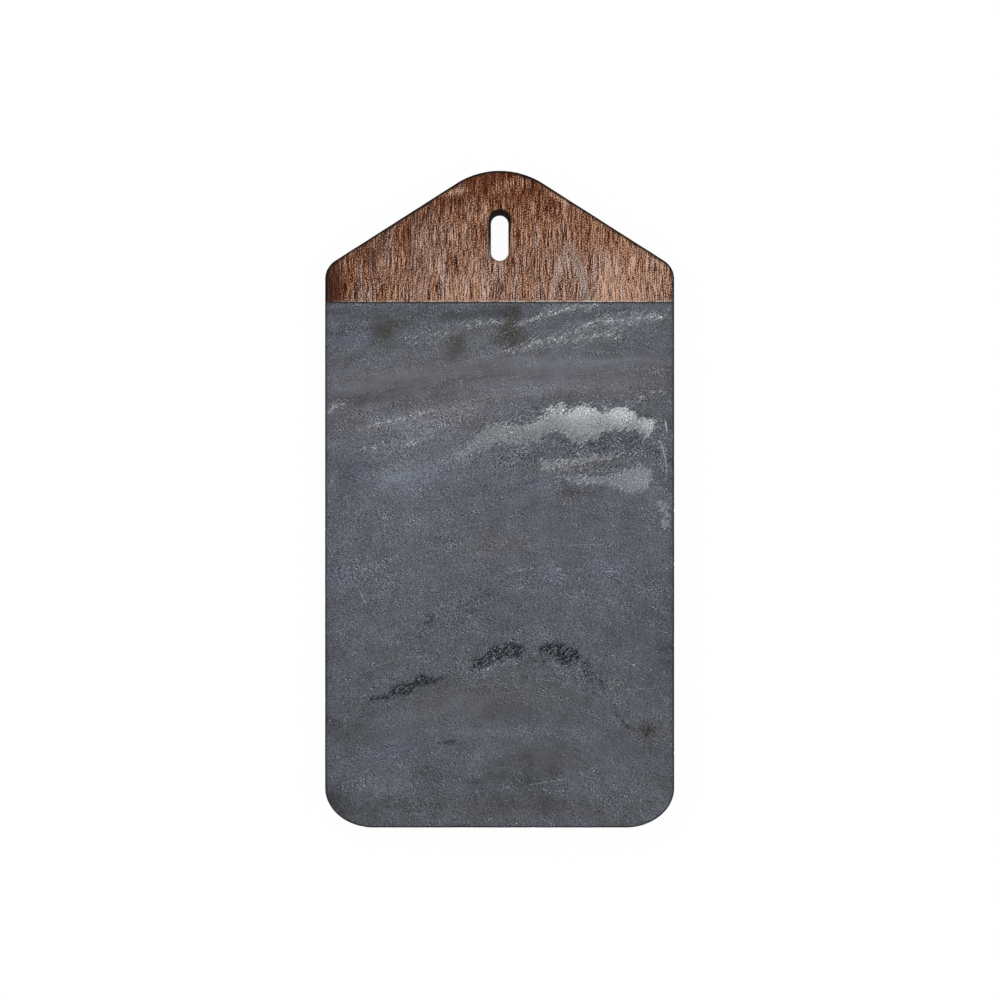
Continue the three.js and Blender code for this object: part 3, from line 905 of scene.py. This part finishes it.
def wood_figure(tree, at, drawn):
    """How strongly a ring of the cathedral figure shows, broken up by pores and specks."""
    ring = chain(tree, at.ring, (drawn.pores, 2.0), **SUM)
    ring = add(tree, "Math", {0: ring, 1: FIGURE_SPACING / 2}, operation="PINGPONG")
    ring = add(tree, "Math", {0: ring, 1: at.steep}, operation="DIVIDE")
    ring = add(tree, "MapRange", {"Value": ring, "From Min": 1.3, "From Max": 0.2, "To Max": 0.9})
    ring = add(tree, "Math", {0: drawn.fine, 1: 3.2, 2: ring}, operation="MULTIPLY_ADD", use_clamp=True)
    return add(tree, "Math", {0: ring, 1: at.figured}, operation="MULTIPLY", use_clamp=True)


def wood_brown(tree, at, drawn, figured):
    """Browns from dark to pale, redder in some places and pinker in others."""
    marks = chain(tree, -3.45, (drawn.fine, 4.7), (drawn.streaks, 0.2), (drawn.fibres, 4.0),
                   (drawn.pores, 2.7), **SUM)
    shown = add(tree, "Math", {0: at.tone, 1: 0.5}, operation="MINIMUM")
    level = chain(tree, at.tone, (marks, shown), (figured, 0.24), **SUM)
    red = add(tree, "ValToRGB", {"Fac": level}, stops=[
        (0.0, "#240400"), (0.25, "#552409"), (0.5, "#7e4d2f"), (0.75, "#a6795d"), (1.0, "#cfa58a")])
    pink = add(tree, "ValToRGB", {"Fac": level}, stops=[
        (0.0, "#280f05"), (0.25, "#5b3f33"), (0.5, "#876c61"), (0.75, "#b0968b"), (1.0, "#d6beb4")])
    hue = chain(tree, at.warmth, (drawn.streaks, 1.8), (drawn.tint, 1.2), **SUM)
    hue = add(tree, "MapRange", {"Value": hue, "From Min": 0.95, "From Max": 1.95})
    return chain(tree, pink, (hue, red), **COAT)


def stained_mango(carried):
    """Mango wood, stained dark and waxed: open pores along the grain, pale streaks, a cathedral figure."""
    material, tree, shader, at = new_material("stained_mango_wood", carried)
    drawn = wood_patterns(tree, at)
    figured = wood_figure(tree, at, drawn)
    colour = wood_brown(tree, at, drawn, figured)
    greyed = add(tree, "Math", {0: figured, 1: 0.55}, operation="MULTIPLY")
    pore = add(tree, "MapRange", {"Value": drawn.pores, "From Min": 0.32, "From Max": 0.2, "To Max": 0.75})
    squeezed = add(tree, "MapRange", {"Value": drawn.squeezed, "From Min": 0.42, "From Max": 0.6})
    seam = add(tree, "Math", {0: squeezed, 1: at.seam}, operation="MULTIPLY")
    # Painted shade on the arrises and sides, and in the slot painted shade with some dark stain
    edge = add(tree, "Math", {0: at.stained, 1: 0.94}, operation="MULTIPLY")
    colour = chain(tree, colour, (greyed, "#a89e9a"), (pore, "#260d05"), (seam, "#c6c0b8"),
                    (edge, "#120a06"), **COAT)
    rough = add(tree, "MapRange", {"Value": drawn.fibres, "To Min": 0.38, "To Max": 0.32})
    rough = add(tree, "Math", {0: at.stained, 1: rough}, operation="MAXIMUM")
    bump = add(tree, "Bump", {"Height": drawn.pores, "Strength": 0.5, "Distance": 0.2 * MM})
    connect(tree, shader, {"Base Color": colour, "Roughness": rough, "Normal": bump, "IOR": 1.5,
                           "Specular IOR Level": 0.12})
    return material


def cured_epoxy():
    """Epoxy tinted with stone dust: a dark line with small pale bubbles where it was squeezed out."""
    material, tree, shader, at = new_material("tinted_epoxy")
    dust = pattern(tree, at.place, [1.5] * 3, detail=3.0)
    colour = add(tree, "ValToRGB", {"Fac": dust}, stops=[
        (0.3, "#1b1613"), (0.6, "#2f2822"), (0.75, "#6d665e")])
    connect(tree, shader, {"Base Color": colour, "Roughness": 0.35, "IOR": 1.55})
    return material


def bare_beech():
    """Turned beech: pale pinkish straw, with short brown flecks along the grain."""
    material, tree, shader, at = new_material("turned_beech")
    flecks = pattern(tree, at.place, (0.4, 3.0, 0.4), detail=2.0)
    colour = add(tree, "ValToRGB", {"Fac": flecks}, stops=[
        (0.35, "#9a714c"), (0.5, "#c8a37a"), (0.7, "#d6b48c")])
    connect(tree, shader, {"Base Color": colour, "Roughness": 0.6})
    return material


def moulded_rubber():
    """Rubber foot, moulded: near black, soft sheen, fine mould texture."""
    material, tree, shader, at = new_material("moulded_foot_rubber")
    texture = pattern(tree, at.place, [0.5] * 3, detail=2.0)
    colour = add(tree, "ValToRGB", {"Fac": texture}, stops=[(0.3, "#161616"), (0.7, "#242423")])
    bump = add(tree, "Bump", {"Height": texture, "Strength": 0.3, "Distance": 0.1 * MM})
    connect(tree, shader, {"Base Color": colour, "Roughness": 0.55, "Normal": bump})
    return material


# Pieces
def stone_slab():
    """The honed slab."""
    end_y = DOWEL_LOW[1] - HOLE_END_GAP
    shell = board_part(stone_outline(), STONE_JOINT_Y, end_y, STONE_EDGE, STONE_SEED)
    side_x, side_y, z = shell.points.T
    inset = np.minimum(HALF_WIDTH - np.abs(side_x), side_y - STONE_LOW[1])
    x = side_x + DEPTH_SHIFT_X * (TOP_Z - z)
    y = side_y + DEPTH_SHIFT_Y * (TOP_Z - z)
    patch_x, patch_y = ragged(x, y, RAGGED_SEED)
    alike = [(1.0, soft, outline) for strength, soft, outline in PALE_PATCHES]
    pale = patches(patch_x, patch_y, alike, deepest=PALE_DEEPEST)
    fringe = np.exp(-((pale - FRINGE_DEPTH) / FRINGE_REACH) ** 2)
    dark = patches(patch_x, patch_y, DARK_LENSES) + spots(x, y, DARK_SPOTS)
    wisp, thread = lines(x, y, WISPS)
    scratched, scratch = lines(x, y, SCRATCHES)
    tone = STONE_TONE + spots(x, y, TONE_SPOTS) + WISP_TONE * wisp
    flaky = spots(x, y, FLAKY_SPOTS) + FLAKY_WISP * wisp + FLAKY_FRINGE * fringe + FLAKY_LENS * dark
    attributes = {
        "bed": bedding(x, y),
        "along": x,
        "layered": np.clip(FAINT_SHARE + (y - FAINT_BELOW_Y) / FAINT_FADE, FAINT_SHARE, 1.0),
        "tone": tone - RIM_SHADE * np.exp(-inset / RIM_REACH),
        "hue": spots(x, y, HUE_SPOTS),
        "stain": spots(x, y, STAIN_SPOTS),
        "pale": pale,
        "glow": patches(x, y, PALE_PATCHES, grown=GLOW_GROWN) + spots(x, y, GLOW_SPOTS),
        "dark": dark,
        "wisp": wisp,
        "thread": thread,
        "flaky": np.clip(flaky, *FLAKY_RANGE),
        "scratched": scratched,
        "scratch": scratch,
        # Strength of the painted shade on the arris
        "arris": shell.arris,
        "rust": spots(side_x, side_y, RUST_SPOTS),
        "joint": STONE_JOINT_Y - side_y,
    }
    make_piece("honed_slab", shell, attributes, honed_marble(attributes), ["stone_slab"])


def wood_handle():
    """The wooden gable end."""
    end_y = DOWEL_HIGH[1] + HOLE_END_GAP
    shell = board_part(wood_outline(), WOOD_JOINT_Y, end_y, WOOD_EDGE, WOOD_SEED, slot_outline())
    x, y, z = shell.points.T
    across = x - FIGURE_X
    bent = np.hypot(across, FIGURE_ROUND)
    ring = FIGURE_Y - y - FIGURE_SLOPE * (bent - FIGURE_ROUND) - FIGURE_SPREAD * across ** 4
    figured = FIGURE_SHARE + FIGURE_RIGHT_SHARE * np.tanh(across / FIGURE_RIGHT_WIDTH)
    figured = figured * np.clip(1 + ring / FIGURE_START, 0.0, 1.0)
    step = np.clip((x - STEP_X) / STEP_WIDTH, 0.0, 1.0)
    on_side = (z < TOP_Z - WOOD_EDGE.radius) & (z > UNDER_Z + WOOD_EDGE.radius)
    on_seam = (y < WOOD_JOINT_Y + SURFACE_SLACK) & (z > TOP_Z - SURFACE_SLACK)
    on_slot_rim = (np.abs(x) < SLOT_WIDTH) & (np.abs(y - SLOT_Y) < SLOT_LENGTH)
    on_slot_rim = on_slot_rim & (z > TOP_Z - SLOT_RIM_DEPTH * WOOD_EDGE.radius)
    slot_rim = np.clip(1 + (y - SLOT_Y) / SLOT_RIM_FADE, SLOT_RIM_LEAST, 1.0)
    attributes = {
        "tone": WOOD_TONE + spots(x, y, WOOD_TONE_SPOTS) + STEP_TONE * step - END_GRAIN_TONE * on_side,
        "warmth": WOOD_WARMTH + spots(x, y, WARMTH_SPOTS),
        "ring": ring,
        "steep": np.hypot(1.0, FIGURE_SLOPE * across / bent + 4 * FIGURE_SPREAD * across ** 3),
        "figured": figured * np.clip((FIGURE_REACH - ring) / FIGURE_FADE, 0.0, 1.0),
        "seam": np.where(on_seam, SEAM_SHARE + SEAM_RIGHT_SHARE * x / HALF_WIDTH, 0.0),
        # Strength of the painted shade on arrises, sides and slot, with some dark stain in the slot
        "stained": shell.arris * np.where(on_slot_rim, slot_rim, 1.0),
    }
    make_piece("gable_end", shell, attributes, stained_mango(attributes), ["wood_handle"])


def dress(nodes, material):
    """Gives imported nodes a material."""
    for name in nodes:
        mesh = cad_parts[name].data
        mesh.materials.clear()
        mesh.materials.append(material)


# Setting
def studio_floor():
    """A pale floor that shows white and keeps a faint shadow, and is clear from below."""
    mesh = bpy.data.meshes.new("floor")
    corners = [(-1, -1), (1, -1), (1, 1), (-1, 1)]
    corners = [(x * FLOOR_HALF, y * FLOOR_HALF, -FLOOR_DROP) for x, y in corners]
    mesh.from_pydata(corners, [], [(0, 1, 2, 3)])
    floor = in_scene("floor", mesh)
    material = bpy.data.materials.new("white_paper")
    material.use_nodes = True
    tree = material.node_tree
    tree.nodes.clear()
    path = tree.nodes.new("ShaderNodeLightPath")
    seen = 0.0
    for ray in ("Is Camera Ray", "Is Glossy Ray", "Is Transmission Ray"):
        seen = add(tree, "Math", {0: path.outputs[ray], 1: seen}, operation="MAXIMUM")
    share = add(tree, "Math", {0: seen, 1: FLOOR_GLOW}, operation="MULTIPLY")
    paper = add(tree, "BsdfDiffuse", {"Color": "#ffffff"})
    glow = add(tree, "Emission", {"Color": "#ffffff"})
    both = add(tree, "MixShader", {0: share, 1: paper, 2: glow})
    behind = add(tree, "NewGeometry", {}, out="Backfacing")
    both = add(tree, "MixShader", {0: behind, 1: both, 2: add(tree, "BsdfTransparent", {})})
    connect(tree, tree.nodes.new("ShaderNodeOutputMaterial"), {"Surface": both})
    mesh.materials.append(material)


def studio_light():
    """A dim even room with large soft lamps round the board, low enough to leave no glare from above."""
    world = bpy.data.worlds.new("room")
    bpy.context.scene.world = world
    world.use_nodes = True
    tree = world.node_tree
    path = tree.nodes.new("ShaderNodeLightPath")
    strength = add(tree, "MapRange", {"Value": path.outputs["Is Camera Ray"], "To Min": ROOM_STRENGTH})
    connect(tree, tree.nodes["Background"], {"Color": "#ffffff", "Strength": strength})
    for name, place, power in LAMPS:
        data = bpy.data.lights.new(name, "AREA")
        data.shape = "SQUARE"
        data.size = LAMP_SIZE
        data.energy = power
        lamp = in_scene(name, data)
        lamp.location = place
        lamp.rotation_euler = (-Vector(place)).to_track_quat("-Z", "Y").to_euler()


def camera_above():
    """A camera looking straight down on the board, with the wooden end up in the picture."""
    data = bpy.data.cameras.new("camera")
    data.sensor_width = SENSOR
    data.lens = SENSOR * CAMERA_ABOVE_TOP / VIEW_WIDTH
    camera = in_scene("camera", data)
    camera.location = Vector((CAMERA_X, CAMERA_Y, TOP_Z + CAMERA_ABOVE_TOP)) * MM
    bpy.context.scene.camera = camera


bpy.context.scene.view_settings.view_transform = "Standard"
camera_above()
studio_floor()
studio_light()
stone_slab()
wood_handle()
dress(["joint_adhesive"], cured_epoxy())
dress(["dowel_left", "dowel_right"], bare_beech())
dress(["foot_front_left", "foot_front_right", "foot_rear_left", "foot_rear_right"], moulded_rubber())
